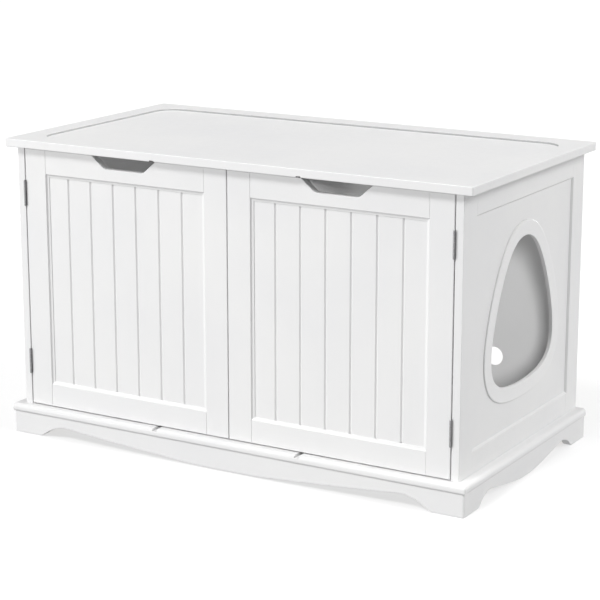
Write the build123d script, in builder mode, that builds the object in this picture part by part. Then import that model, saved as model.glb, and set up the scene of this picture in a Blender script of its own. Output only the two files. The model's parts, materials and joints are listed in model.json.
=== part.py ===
from build123d import *
import math
import os

os.makedirs("parts", exist_ok=True)

# Litter box enclosure: a low two-door cabinet with a tray-like top, a scalloped
# plinth and an egg-shaped cat entrance in its right side.
# Frame: origin on the floor under the middle of the object, +Z up, doors face -Y,
# the cat entrance faces +X.  Millimetres.

# ---------------------------------------------------------------- driving dimensions
TOP_W = 940.0                     # top board, side to side
TOP_Y0, TOP_Y1 = -251.0, 257.0    # top board, front and rear edge
TOP_T = 15.0                      # top board thickness
H = 554.5                         # overall height
RECESS_X = 430.0                  # tray recess, half width
RECESS_Y0, RECESS_Y1 = -206.0, 211.0
RECESS_R = 40.0                   # tray recess, corner radius in plan
RECESS_DEPTH = 4.3

XC = 450.0                        # outer face of the side frames
T = 15.0                          # frame and board thickness
X_IN = XC - T                     # inner face of the side frames
Y_FACE = -240.0                   # door faces and front edges of the side frames
Y_REAR = 252.5                    # rear edges of the side frames
Z_TOP = H - TOP_T                 # underside of the top board
Z_FLOOR = 55.5                    # upper face of the bottom board
Z_BASE = 40.5                     # top of the plinth, underside of the bottom board

BOT_X = 470.0                     # bottom board, half width at the nose
BOT_Y0, BOT_Y1 = -257.0, 253.0
NOSE_R_TOP, NOSE_R_LOW = 6.5, 4.5

APRON_X = 467.0                   # plinth, half width
APRON_Y0, APRON_Y1 = -254.0, 253.0
APRON_T = 15.0
CORNER_R = 3.5                    # upright front corners of the plinth and of the nose

# side frame: recessed field with a bevelled edge
FIELD_Y0, FIELD_Y1 = -191.0, 202.0    # field panel, sight size
FIELD_Z0, FIELD_Z1 = 97.5, 494.0
SIDE_BEVEL = 3.0
FIELD_X1 = XC - 3.6                   # outer face of the field panel
FIELD_T = 3.6
TONGUE = 8.0                          # panel edge held in the frame's groove
TONGUE_GAP = 0.5
JOINT_V = 0.9                         # small V at the stile and rail joints of the doors
SIDE_JOINT_V = 0.2                    # and of the side frames

# cat entrance: y = sum of sines, z = sum of cosines of one parameter
EGG_SIN = (118.56, -17.72, -3.38, 1.16)
EGG_COS = (286.37, 138.91, 13.02, -8.93, -2.16)
EGG_Y = 5.5
RING_W = 27.0
RING_T = 2.5
EGG_POINTS = 48

# doors (right door, x > 0; the left one is its mirror image)
DOOR_X0, DOOR_X1 = 0.6, 433.4
DOOR_Z0, DOOR_Z1 = 56.8, 537.5
DOOR_T = 15.0
FACE_X0, FACE_X1 = 46.4, 388.6        # opening of the door's frame, on its face
FACE_Z0, FACE_Z1 = 98.6, 494.2
STICK_W, STICK_D = 6.0, 3.2           # moulded inner edge of the frame: width, and depth where it ends
STEP_W, STEP_D = 2.2, 2.4             # the steep outer part of that moulding
PANEL_X0, PANEL_X1 = FACE_X0 + STICK_W, FACE_X1 - STICK_W    # beadboard, sight size
PANEL_Z0, PANEL_Z1 = FACE_Z0 + STICK_W, FACE_Z1 - STICK_W
PANEL_Y0 = Y_FACE + 4.2               # face of the beadboard
PANEL_T = 6.0
BOARD_PITCH = 49.0
BOARDS = 7
V_HALF, V_DEPTH = 2.8, 1.9
DOOR_ROUND = 1.4                      # rounding of the door faces' outer edges
PULL_X = 216.0                        # middle of the finger pull
PULL_TOP, PULL_LOW = 68.0, 42.0       # half widths before rounding
PULL_Z = 515.0

# hinges
PIN_X, PIN_Y = 434.2, Y_FACE - 2.4
PIN_R = 0.9
BORE_R = 0.95
KNUCKLE_R = 2.1
KNUCKLE_ROOT = 1.4                    # from the pin's axis to where the leaf leaves the knuckle
HINGE_H = 46.0
HINGE_Z = (138.2, 455.4)              # middles of the lower and upper hinge
LEAF_T = 0.7
LEAF_Y1 = Y_FACE + 12.0
KNUCKLE_GAP = 0.3
HINGE_SCREW_Y = Y_FACE + 6.4
HINGE_SCREW_DZ = 14.0

# divider
DIV_X = 148.0
DIV_T = 9.0
GROOVE_W = 9.4
GROOVE_DEPTH = 5.0                    # in the bottom board
TOP_GROOVE_DEPTH = 2.4                # in the top board
DIV_Y0, DIV_Y1 = -222.0, 248.4

# back panel
BACK_T = 3.2
BACK_Y0 = Y_REAR - BACK_T
BACK_X = 442.5
PORT_X, PORT_Z, PORT_R = 282.5, 130.9, 18.0

# knock-down fittings
FIT_X = XC - T / 2
CAM_Y = (-217.5, 229.5)
DOWEL_Y = (-100.0, 110.0)
CAM_DROP = 30.0
CAM_R, CAM_L = 7.5, 12.0
BOLT_R, BOLT_THREAD_R, BOLT_THREAD_L = 3.2, 2.4, 9.0
DOWEL_R, DOWEL_UP, DOWEL_IN = 4.0, 10.0, 20.0
SLIP = 0.05                           # radial room round an inserted fitting

# magnetic catches
CATCH_X = 25.0
CATCH_Y0 = Y_FACE + DOOR_T + 1.6
CATCH_W, CATCH_D, CATCH_H = 30.0, 14.0, 12.0
STRIKE_T = 1.0


def egg(offset):
    """Closed outline of the cat entrance, moved outwards by offset."""
    pts = []
    for i in range(EGG_POINTS):
        t = 2 * math.pi * i / EGG_POINTS
        y = sum(a * math.sin((n + 1) * t) for n, a in enumerate(EGG_SIN))
        z = sum(a * math.cos(n * t) for n, a in enumerate(EGG_COS))
        dy = sum(a * (n + 1) * math.cos((n + 1) * t) for n, a in enumerate(EGG_SIN))
        dz = -sum(a * n * math.sin(n * t) for n, a in enumerate(EGG_COS))
        s = math.hypot(dy, dz)
        pts.append((EGG_Y + y - offset * dz / s, z + offset * dy / s))
    return pts


# ---------------------------------------------------------------- shared cutters
# bevelled edge of the side frame's opening
with BuildPart() as side_bevel:
    with BuildSketch(Plane.YZ.offset(XC)):
        with Locations(((FIELD_Y0 + FIELD_Y1) / 2, (FIELD_Z0 + FIELD_Z1) / 2)):
            Rectangle(FIELD_Y1 - FIELD_Y0 + 2 * SIDE_BEVEL, FIELD_Z1 - FIELD_Z0 + 2 * SIDE_BEVEL)
    with BuildSketch(Plane.YZ.offset(XC - SIDE_BEVEL)):
        with Locations(((FIELD_Y0 + FIELD_Y1) / 2, (FIELD_Z0 + FIELD_Z1) / 2)):
            Rectangle(FIELD_Y1 - FIELD_Y0, FIELD_Z1 - FIELD_Z0)
    loft()

# groove that holds the side frame's field panel
with BuildPart() as side_groove:
    with BuildSketch(Plane.YZ.offset(FIELD_X1 - FIELD_T)):
        with Locations(((FIELD_Y0 + FIELD_Y1) / 2, (FIELD_Z0 + FIELD_Z1) / 2)):
            Rectangle(FIELD_Y1 - FIELD_Y0 + 2 * TONGUE, FIELD_Z1 - FIELD_Z0 + 2 * TONGUE)
    extrude(amount=FIELD_T)

# moulded edge of the door's opening, a step and a slope, and the groove for its beadboard
PX, PZ = (PANEL_X0 + PANEL_X1) / 2, (PANEL_Z0 + PANEL_Z1) / 2
with BuildPart() as door_bevel:
    with BuildSketch(Plane.XZ.offset(-Y_FACE)):
        with Locations((PX, PZ)):
            Rectangle(FACE_X1 - FACE_X0, FACE_Z1 - FACE_Z0)
    with BuildSketch(Plane.XZ.offset(-Y_FACE - STEP_D)):
        with Locations((PX, PZ)):
            Rectangle(FACE_X1 - FACE_X0 - 2 * STEP_W, FACE_Z1 - FACE_Z0 - 2 * STEP_W)
    loft()
    with BuildSketch(Plane.XZ.offset(-Y_FACE - STEP_D)):
        with Locations((PX, PZ)):
            Rectangle(FACE_X1 - FACE_X0 - 2 * STEP_W, FACE_Z1 - FACE_Z0 - 2 * STEP_W)
    with BuildSketch(Plane.XZ.offset(-Y_FACE - STICK_D)):
        with Locations((PX, PZ)):
            Rectangle(PANEL_X1 - PANEL_X0, PANEL_Z1 - PANEL_Z0)
    loft()
with BuildPart() as door_groove:
    with BuildSketch(Plane.XZ.offset(-PANEL_Y0)):
        with Locations((PX, PZ)):
            Rectangle(PANEL_X1 - PANEL_X0 + 2 * TONGUE, PANEL_Z1 - PANEL_Z0 + 2 * TONGUE)
    extrude(amount=-PANEL_T)

# ---------------------------------------------------------------- top board
with BuildPart() as top_board:
    with BuildSketch(Plane.XY.offset(Z_TOP)):
        with Locations((0, (TOP_Y0 + TOP_Y1) / 2)):
            RectangleRounded(TOP_W, TOP_Y1 - TOP_Y0, 3.0)
    extrude(amount=TOP_T)
    fillet(top_board.faces().sort_by(Axis.Z)[-1].edges(), 1.3)
    fillet(top_board.faces().sort_by(Axis.Z)[0].edges(), 1.4)
    # shallow tray for a cushion
    with BuildSketch(Plane.XY.offset(H)):
        with Locations((0, (RECESS_Y0 + RECESS_Y1) / 2)):
            RectangleRounded(2 * RECESS_X, RECESS_Y1 - RECESS_Y0, RECESS_R)
    extrude(amount=-RECESS_DEPTH, mode=Mode.SUBTRACT)
    tray = top_board.faces().filter_by(Plane.XY).filter_by(lambda f: abs(f.center().Z - (H - RECESS_DEPTH)) < 0.01)
    fillet(tray.edges(), 1.0)
    lip = top_board.edges().filter_by(lambda e: abs(e.bounding_box().min.Z - H) < 0.01 and abs(e.center().X) < RECESS_X + 1 and RECESS_Y0 - 1 < e.center().Y < RECESS_Y1 + 1)
    fillet(lip, 0.8)
    # guide grooves for the divider, open at the front edge
    with BuildSketch(Plane.XY.offset(Z_TOP)):
        with Locations((DIV_X, (TOP_Y0 - 10 + 249.0) / 2), (-DIV_X, (TOP_Y0 - 10 + 249.0) / 2)):
            Rectangle(GROOVE_W, 249.0 - TOP_Y0 + 10)
    extrude(amount=TOP_GROOVE_DEPTH, mode=Mode.SUBTRACT)
    # groove for the upper edge of the back panel
    with BuildSketch(Plane.XY.offset(Z_TOP)):
        with Locations((0, BACK_Y0 + BACK_T / 2)):
            Rectangle(2 * BACK_X + 1.0, BACK_T + 0.2)
    extrude(amount=5.5, mode=Mode.SUBTRACT)
    # blind holes for cam bolts and dowels
    with Locations(*[(sx * FIT_X, y, Z_TOP) for sx in (1, -1) for y in CAM_Y]):
        Cylinder(BOLT_THREAD_R + SLIP, BOLT_THREAD_L + 0.5, align=(Align.CENTER, Align.CENTER, Align.MIN), mode=Mode.SUBTRACT)
    with Locations(*[(sx * FIT_X, y, Z_TOP) for sx in (1, -1) for y in DOWEL_Y]):
        Cylinder(DOWEL_R + SLIP, DOWEL_UP + 0.5, align=(Align.CENTER, Align.CENTER, Align.MIN), mode=Mode.SUBTRACT)
    # pilot holes for the catch screws
    with Locations(*[(sx * CATCH_X + e, CATCH_Y0 + CATCH_D / 2, Z_TOP) for sx in (1, -1) for e in (-19.0, 19.0)]):
        Cylinder(1.4 + SLIP, 7.5, align=(Align.CENTER, Align.CENTER, Align.MIN), mode=Mode.SUBTRACT)
top_board.part.label = "top_board"
export_step(top_board.part, "parts/top_board.step")

# ---------------------------------------------------------------- bottom board with rounded nose
with BuildPart() as bottom_board:
    with BuildSketch(Plane.XZ.offset(-BOT_Y1)) as nose_x:
        with Locations((0, (Z_BASE + Z_FLOOR) / 2)):
            Rectangle(2 * BOT_X, Z_FLOOR - Z_BASE)
        fillet(nose_x.vertices().group_by(Axis.Y)[-1], NOSE_R_TOP)
        fillet(nose_x.vertices().filter_by(lambda v: abs(v.Y - Z_BASE) < 0.01), NOSE_R_LOW)
    extrude(amount=BOT_Y1 - BOT_Y0)
    with BuildSketch(Plane.YZ.offset(-BOT_X)) as nose_y:
        with Locations(((BOT_Y0 + BOT_Y1) / 2, (Z_BASE + Z_FLOOR) / 2)):
            Rectangle(BOT_Y1 - BOT_Y0, Z_FLOOR - Z_BASE)
        fillet(nose_y.vertices().filter_by(lambda v: v.X < 0 and abs(v.Y - Z_FLOOR) < 0.01), NOSE_R_TOP)
        fillet(nose_y.vertices().filter_by(lambda v: v.X < 0 and abs(v.Y - Z_BASE) < 0.01 and v.X < BOT_Y0 + 0.5), NOSE_R_LOW)
    extrude(amount=2 * BOT_X, mode=Mode.INTERSECT)
    # rounded front corners
    with BuildSketch(Plane.XY.offset(Z_BASE - 1)):
        with Locations((0, BOT_Y0 + 300.0)):
            RectangleRounded(2 * BOT_X, 600.0, CORNER_R)
    extrude(amount=Z_FLOOR - Z_BASE + 2, mode=Mode.INTERSECT)
    # guide grooves for the divider, open at the front edge
    with BuildSketch(Plane.XY.offset(Z_FLOOR)):
        with Locations((DIV_X, (BOT_Y0 - 10 + 249.0) / 2), (-DIV_X, (BOT_Y0 - 10 + 249.0) / 2)):
            Rectangle(GROOVE_W, 249.0 - BOT_Y0 + 10)
    extrude(amount=-GROOVE_DEPTH, mode=Mode.SUBTRACT)
    # rebate for the back panel
    with BuildSketch(Plane.XY.offset(Z_FLOOR)):
        with Locations((0, (BACK_Y0 - 0.1 + BOT_Y1 + 5) / 2)):
            Rectangle(2 * BACK_X + 1.0, BOT_Y1 + 5 - BACK_Y0 + 0.1)
    extrude(amount=-8.0, mode=Mode.SUBTRACT)
    # blind holes for cam bolts and dowels
    with Locations(*[(sx * FIT_X, y, Z_FLOOR) for sx in (1, -1) for y in CAM_Y]):
        Cylinder(BOLT_THREAD_R + SLIP, BOLT_THREAD_L + 0.5, align=(Align.CENTER, Align.CENTER, Align.MAX), mode=Mode.SUBTRACT)
    with Locations(*[(sx * FIT_X, y, Z_FLOOR) for sx in (1, -1) for y in DOWEL_Y]):
        Cylinder(DOWEL_R + SLIP, DOWEL_UP + 0.5, align=(Align.CENTER, Align.CENTER, Align.MAX), mode=Mode.SUBTRACT)
    # pilot holes for the corner block screws
    with Locations(*[(sx * 432.0, y, Z_BASE) for sx in (1, -1) for y in (-219.0, 218.0)]):
        Cylinder(1.9 + SLIP, 10.0, align=(Align.CENTER, Align.CENTER, Align.MIN), mode=Mode.SUBTRACT)
    # pilot holes for the lower back panel screws
    with Locations(*[Location((x, BACK_Y0 - 0.1, 51.5), (90, 0, 0)) for x in (-360.0, -180.0, 0.0, 180.0, 360.0)]):
        Cylinder(1.25 + SLIP, 11.0, align=(Align.CENTER, Align.CENTER, Align.MIN), mode=Mode.SUBTRACT)
bottom_board.part.label = "bottom_board"
export_step(bottom_board.part, "parts/bottom_board.step")

# ---------------------------------------------------------------- plinth boards
FRONT_HALF = [(0.0, 1.6), (40.0, 1.9), (80.0, 3.2), (128.0, 6.2), (180.0, 9.6), (240.0, 13.8), (296.0, 18.2), (330.0, 21.0), (352.0, 22.6)]
FRONT_STEP = [(352.0, 22.6), (366.0, 20.4), (380.0, 15.4), (392.0, 8.8), (402.0, 2.2), (410.0, 0.0)]
with BuildPart() as front_apron:
    with BuildSketch(Plane.XZ.offset(-APRON_Y0)):
        with BuildLine():
            l1 = Spline(*[(x, z) for x, z in FRONT_HALF], tangents=[(1, 0), (1, 0.02)])
            l2 = Spline(*[(x, z) for x, z in FRONT_STEP], tangents=[(1, 0.0), (1, 0)])
            l3 = Polyline((410.0, 0.0), (APRON_X, 0.0), (APRON_X, Z_BASE), (0, Z_BASE))
            mirror(about=Plane.YZ)
        make_face()
    extrude(amount=-APRON_T)
    # mitred ends
    with BuildSketch(Plane.XY.offset(-1)):
        with BuildLine():
            Polyline((APRON_X, APRON_Y0), (APRON_X - 40, APRON_Y0 + 40), (APRON_X + 40, APRON_Y0 + 40), close=True)
        make_face()
        mirror(about=Plane.YZ)
    extrude(amount=Z_BASE + 2, mode=Mode.SUBTRACT)
    fillet(front_apron.edges().filter_by(lambda e: abs(e.center().Y - APRON_Y0) < 0.01 and e.center().Z < 30 and abs(e.center().X) < APRON_X - 1), 1.0)
    # rounded upright corners
    with BuildSketch(Plane.XY.offset(-1)):
        with Locations((0, APRON_Y0 + 300.0)):
            RectangleRounded(2 * APRON_X, 600.0, CORNER_R)
    extrude(amount=Z_BASE + 2, mode=Mode.INTERSECT)
front_apron.part.label = "front_apron"
export_step(front_apron.part, "parts/front_apron.step")

SIDE_MID = (APRON_Y0 + APRON_Y1) / 2
SIDE_HALF = [(0.0, 1.8), (24.0, 2.4), (62.0, 6.6), (104.0, 13.2), (136.0, 18.6), (154.0, 20.8)]
SIDE_STEP = [(154.0, 20.8), (166.0, 18.6), (178.0, 13.6), (187.0, 7.2), (193.0, 2.0), (199.0, 0.0)]
with BuildPart() as right_apron:
    with BuildSketch(Plane.YZ.offset(APRON_X)):
        with BuildLine():
            Spline(*[(SIDE_MID + y, z) for y, z in SIDE_HALF], tangents=[(1, 0), (1, 0.02)])
            Spline(*[(SIDE_MID + y, z) for y, z in SIDE_STEP], tangents=[(1, 0), (1, 0)])
            Polyline((SIDE_MID + 199.0, 0.0), (APRON_Y1, 0.0), (APRON_Y1, Z_BASE), (APRON_Y0, Z_BASE), (APRON_Y0, 0.0), (SIDE_MID - 199.0, 0.0))
            Spline(*[(SIDE_MID - y, z) for y, z in reversed(SIDE_STEP)], tangents=[(1, 0), (1, 0)])
            Spline(*[(SIDE_MID - y, z) for y, z in reversed(SIDE_HALF)], tangents=[(1, -0.02), (1, 0)])
        make_face()
    extrude(amount=-APRON_T)
    # mitred front end
    with BuildSketch(Plane.XY.offset(-1)):
        with BuildLine():
            Polyline((APRON_X, APRON_Y0), (APRON_X - 40, APRON_Y0 + 40), (APRON_X - 40, APRON_Y0 - 5), (APRON_X, APRON_Y0 - 5), close=True)
        make_face()
    extrude(amount=Z_BASE + 2, mode=Mode.SUBTRACT)
    fillet(right_apron.edges().filter_by(lambda e: abs(e.center().X - APRON_X) < 0.01 and e.center().Z < 30 and APRON_Y0 + 1 < e.center().Y < APRON_Y1 - 1), 1.0)
    # rounded upright corner
    with BuildSketch(Plane.XY.offset(-1)):
        with Locations((0, APRON_Y0 + 300.0)):
            RectangleRounded(2 * APRON_X, 600.0, CORNER_R)
    extrude(amount=Z_BASE + 2, mode=Mode.INTERSECT)
right_apron.part.label = "right_apron"
export_step(right_apron.part, "parts/right_apron.step")

with BuildPart() as left_apron:
    mirror(right_apron.part, about=Plane.YZ)
left_apron.part.label = "left_apron"
export_step(left_apron.part, "parts/left_apron.step")

with BuildPart() as rear_apron:
    with BuildSketch(Plane.XZ.offset(-APRON_Y1)) as rear_outline:
        with BuildLine():
            Polyline((-APRON_X + APRON_T, 4.0), (-392.0, 4.0), (-372.0, 16.0), (372.0, 16.0), (392.0, 4.0), (APRON_X - APRON_T, 4.0), (APRON_X - APRON_T, Z_BASE), (-APRON_X + APRON_T, Z_BASE), close=True)
        make_face()
        fillet(rear_outline.vertices().filter_by(lambda v: abs(v.X) < 400), 9.0)
    extrude(amount=APRON_T)
rear_apron.part.label = "rear_apron"
export_step(rear_apron.part, "parts/rear_apron.step")

# glue blocks in the corners of the plinth
BLOCK = 40.0
BLOCK_X = APRON_X - APRON_T
with BuildPart() as base_corner_blocks:
    with BuildSketch(Plane.XY.offset(6.0)) as block_plan:
        for sx in (1, -1):
            for y, sy in ((APRON_Y0 + APRON_T, 1), (APRON_Y1 - APRON_T, -1)):
                with BuildLine():
                    Polyline((sx * BLOCK_X, y), (sx * (BLOCK_X - BLOCK), y), (sx * (BLOCK_X - BLOCK), y + sy * 12), (sx * (BLOCK_X - 12), y + sy * BLOCK), (sx * BLOCK_X, y + sy * BLOCK), close=True)
                make_face()
    extrude(amount=Z_BASE - 6.0)
    with Locations(*[(sx * 432.0, y, 6.0) for sx in (1, -1) for y in (-219.0, 218.0)]):
        Cylinder(2.3, 120.0, mode=Mode.SUBTRACT)
        Cylinder(4.4, 20.0, align=(Align.CENTER, Align.CENTER, Align.MIN), mode=Mode.SUBTRACT)
base_corner_blocks.part.label = "base_corner_blocks"
export_step(base_corner_blocks.part, "parts/base_corner_blocks.step")

with BuildPart() as base_screws:
    with Locations(*[(sx * 432.0, y, 23.0) for sx in (1, -1) for y in (-219.0, 218.0)]):
        Cylinder(4.0, 3.0, align=(Align.CENTER, Align.CENTER, Align.MIN))
        Cylinder(1.9, 26.0, align=(Align.CENTER, Align.CENTER, Align.MIN))
        Box(0.9, 4.6, 1.6, mode=Mode.SUBTRACT)
        Box(4.6, 0.9, 1.6, mode=Mode.SUBTRACT)
base_screws.part.label = "base_screws"
export_step(base_screws.part, "parts/base_screws.step")

# ---------------------------------------------------------------- right side frame
with BuildPart() as right_front_stile:
    with BuildSketch(Plane.XY.offset(Z_FLOOR)):
        with Locations(((X_IN + XC) / 2, (Y_FACE + FIELD_Y0) / 2)):
            Rectangle(T, FIELD_Y0 - Y_FACE)
    extrude(amount=Z_TOP - Z_FLOOR)
    fillet(right_front_stile.edges().filter_by(Axis.Z).filter_by(lambda e: abs(e.center().Y - Y_FACE) < 0.01), 1.4)
    chamfer(right_front_stile.edges().filter_by(Axis.Z).filter_by(lambda e: abs(e.center().Y - FIELD_Y0) < 0.01 and abs(e.center().X - XC) < 0.01), SIDE_JOINT_V)
    add(side_bevel.part, mode=Mode.SUBTRACT)
    add(side_groove.part, mode=Mode.SUBTRACT)
    # cam nut pockets, bolt holes and hinge pilot holes
    with Locations(*[Location((X_IN, CAM_Y[0], z), (0, 90, 0)) for z in (Z_TOP - CAM_DROP, Z_FLOOR + CAM_DROP)]):
        Cylinder(CAM_R + SLIP, CAM_L, align=(Align.CENTER, Align.CENTER, Align.MIN), mode=Mode.SUBTRACT)
    with Locations((FIT_X, CAM_Y[0], Z_TOP)):
        Cylinder(BOLT_R + 0.3, CAM_DROP, align=(Align.CENTER, Align.CENTER, Align.MAX), mode=Mode.SUBTRACT)
    with Locations((FIT_X, CAM_Y[0], Z_FLOOR)):
        Cylinder(BOLT_R + 0.3, CAM_DROP, align=(Align.CENTER, Align.CENTER, Align.MIN), mode=Mode.SUBTRACT)
    with Locations(*[Location((X_IN, HINGE_SCREW_Y, z + d), (0, 90, 0)) for z in HINGE_Z for d in (-HINGE_SCREW_DZ, HINGE_SCREW_DZ)]):
        Cylinder(1.4 + SLIP, 11.0, align=(Align.CENTER, Align.CENTER, Align.MIN), mode=Mode.SUBTRACT)
        Cylinder(1.9, 0.6, align=(Align.CENTER, Align.CENTER, Align.MIN), mode=Mode.SUBTRACT)
right_front_stile.part.label = "right_front_stile"
export_step(right_front_stile.part, "parts/right_front_stile.step")

with BuildPart() as right_rear_stile:
    with BuildSketch(Plane.XY.offset(Z_FLOOR)):
        with Locations(((X_IN + XC) / 2, (Y_REAR + FIELD_Y1) / 2)):
            Rectangle(T, Y_REAR - FIELD_Y1)
    extrude(amount=Z_TOP - Z_FLOOR)
    fillet(right_rear_stile.edges().filter_by(Axis.Z).filter_by(lambda e: abs(e.center().Y - Y_REAR) < 0.01 and abs(e.center().X - XC) < 0.01), 1.4)
    chamfer(right_rear_stile.edges().filter_by(Axis.Z).filter_by(lambda e: abs(e.center().Y - FIELD_Y1) < 0.01 and abs(e.center().X - XC) < 0.01), SIDE_JOINT_V)
    add(side_bevel.part, mode=Mode.SUBTRACT)
    add(side_groove.part, mode=Mode.SUBTRACT)
    # rebate for the back panel
    with BuildSketch(Plane.XY.offset(Z_FLOOR)):
        with Locations(((X_IN + BACK_X) / 2, Y_REAR - BACK_T / 2)):
            Rectangle(BACK_X - X_IN + 0.2, BACK_T)
    extrude(amount=Z_TOP - Z_FLOOR, mode=Mode.SUBTRACT)
    with Locations(*[Location((X_IN, CAM_Y[1], z), (0, 90, 0)) for z in (Z_TOP - CAM_DROP, Z_FLOOR + CAM_DROP)]):
        Cylinder(CAM_R + SLIP, CAM_L, align=(Align.CENTER, Align.CENTER, Align.MIN), mode=Mode.SUBTRACT)
    with Locations((FIT_X, CAM_Y[1], Z_TOP)):
        Cylinder(BOLT_R + 0.3, CAM_DROP, align=(Align.CENTER, Align.CENTER, Align.MAX), mode=Mode.SUBTRACT)
    with Locations((FIT_X, CAM_Y[1], Z_FLOOR)):
        Cylinder(BOLT_R + 0.3, CAM_DROP, align=(Align.CENTER, Align.CENTER, Align.MIN), mode=Mode.SUBTRACT)
    with Locations(*[Location((438.8, BACK_Y0, z), (90, 0, 0)) for z in (130.0, 240.0, 350.0, 460.0)]):
        Cylinder(1.25 + SLIP, 11.0, align=(Align.CENTER, Align.CENTER, Align.MIN), mode=Mode.SUBTRACT)
right_rear_stile.part.label = "right_rear_stile"
export_step(right_rear_stile.part, "parts/right_rear_stile.step")

with BuildPart() as right_top_rail:
    with BuildSketch(Plane.YZ.offset(X_IN)):
        with Locations(((FIELD_Y0 + FIELD_Y1) / 2, (FIELD_Z1 + Z_TOP) / 2)):
            Rectangle(FIELD_Y1 - FIELD_Y0, Z_TOP - FIELD_Z1)
    extrude(amount=T)
    chamfer(right_top_rail.edges().filter_by(Axis.Z).filter_by(lambda e: abs(e.center().X - XC) < 0.01), SIDE_JOINT_V)
    add(side_bevel.part, mode=Mode.SUBTRACT)
    add(side_groove.part, mode=Mode.SUBTRACT)
    with Locations(*[(FIT_X, y, Z_TOP) for y in DOWEL_Y]):
        Cylinder(DOWEL_R + SLIP, DOWEL_IN + 0.5, align=(Align.CENTER, Align.CENTER, Align.MAX), mode=Mode.SUBTRACT)
right_top_rail.part.label = "right_top_rail"
export_step(right_top_rail.part, "parts/right_top_rail.step")

with BuildPart() as right_bottom_rail:
    with BuildSketch(Plane.YZ.offset(X_IN)):
        with Locations(((FIELD_Y0 + FIELD_Y1) / 2, (FIELD_Z0 + Z_FLOOR) / 2)):
            Rectangle(FIELD_Y1 - FIELD_Y0, FIELD_Z0 - Z_FLOOR)
    extrude(amount=T)
    chamfer(right_bottom_rail.edges().filter_by(Axis.Z).filter_by(lambda e: abs(e.center().X - XC) < 0.01), SIDE_JOINT_V)
    add(side_bevel.part, mode=Mode.SUBTRACT)
    add(side_groove.part, mode=Mode.SUBTRACT)
    with Locations(*[(FIT_X, y, Z_FLOOR) for y in DOWEL_Y]):
        Cylinder(DOWEL_R + SLIP, DOWEL_IN + 0.5, align=(Align.CENTER, Align.CENTER, Align.MIN), mode=Mode.SUBTRACT)
right_bottom_rail.part.label = "right_bottom_rail"
export_step(right_bottom_rail.part, "parts/right_bottom_rail.step")

FY, FZ = (FIELD_Y0 + FIELD_Y1) / 2, (FIELD_Z0 + FIELD_Z1) / 2
FW = FIELD_Y1 - FIELD_Y0 + 2 * (TONGUE - TONGUE_GAP)
FH = FIELD_Z1 - FIELD_Z0 + 2 * (TONGUE - TONGUE_GAP)
with BuildPart() as right_entry_panel:
    with BuildSketch(Plane.YZ.offset(FIELD_X1 - FIELD_T)):
        with Locations((FY, FZ)):
            Rectangle(FW, FH)
        with BuildLine():
            Spline(*egg(0.0), periodic=True)
        make_face(mode=Mode.SUBTRACT)
    extrude(amount=FIELD_T)
right_entry_panel.part.label = "right_entry_panel"
export_step(right_entry_panel.part, "parts/right_entry_panel.step")

with BuildPart() as entry_ring:
    with BuildSketch(Plane.YZ.offset(FIELD_X1)):
        with BuildLine():
            Spline(*egg(RING_W), periodic=True)
        make_face()
        with BuildLine():
            Spline(*egg(0.0), periodic=True)
        make_face(mode=Mode.SUBTRACT)
    extrude(amount=RING_T)
    rim = entry_ring.faces().sort_by(Axis.X)[-1].edges().sort_by(SortBy.LENGTH)
    fillet(rim[-1], 1.8)
    fillet(entry_ring.faces().sort_by(Axis.X)[-1].edges().sort_by(SortBy.LENGTH)[0], 1.0)
entry_ring.part.label = "entry_ring"
export_step(entry_ring.part, "parts/entry_ring.step")

# ---------------------------------------------------------------- left side frame
with BuildPart() as left_front_stile:
    mirror(right_front_stile.part, about=Plane.YZ)
left_front_stile.part.label = "left_front_stile"
export_step(left_front_stile.part, "parts/left_front_stile.step")

with BuildPart() as left_rear_stile:
    mirror(right_rear_stile.part, about=Plane.YZ)
left_rear_stile.part.label = "left_rear_stile"
export_step(left_rear_stile.part, "parts/left_rear_stile.step")

with BuildPart() as left_top_rail:
    mirror(right_top_rail.part, about=Plane.YZ)
left_top_rail.part.label = "left_top_rail"
export_step(left_top_rail.part, "parts/left_top_rail.step")

with BuildPart() as left_bottom_rail:
    mirror(right_bottom_rail.part, about=Plane.YZ)
left_bottom_rail.part.label = "left_bottom_rail"
export_step(left_bottom_rail.part, "parts/left_bottom_rail.step")

with BuildPart() as left_field_panel:
    with BuildSketch(Plane.YZ.offset(-FIELD_X1)):
        with Locations((FY, FZ)):
            Rectangle(FW, FH)
    extrude(amount=FIELD_T)
left_field_panel.part.label = "left_field_panel"
export_step(left_field_panel.part, "parts/left_field_panel.step")

# ---------------------------------------------------------------- back panel and divider
with BuildPart() as back_panel:
    with BuildSketch(Plane.XZ.offset(-BACK_Y0)):
        with Locations((0, (47.5 + Z_TOP + 5.0) / 2)):
            Rectangle(2 * BACK_X, Z_TOP + 5.0 - 47.5)
        with Locations((PORT_X, PORT_Z), (-PORT_X, PORT_Z)):
            Circle(PORT_R, mode=Mode.SUBTRACT)
        with Locations(*[(x, 51.5) for x in (-360.0, -180.0, 0.0, 180.0, 360.0)]):
            Circle(1.25 + SLIP, mode=Mode.SUBTRACT)
        with Locations(*[(sx * 438.8, z) for sx in (1, -1) for z in (130.0, 240.0, 350.0, 460.0)]):
            Circle(1.25 + SLIP, mode=Mode.SUBTRACT)
    extrude(amount=-BACK_T)
back_panel.part.label = "back_panel"
export_step(back_panel.part, "parts/back_panel.step")

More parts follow.
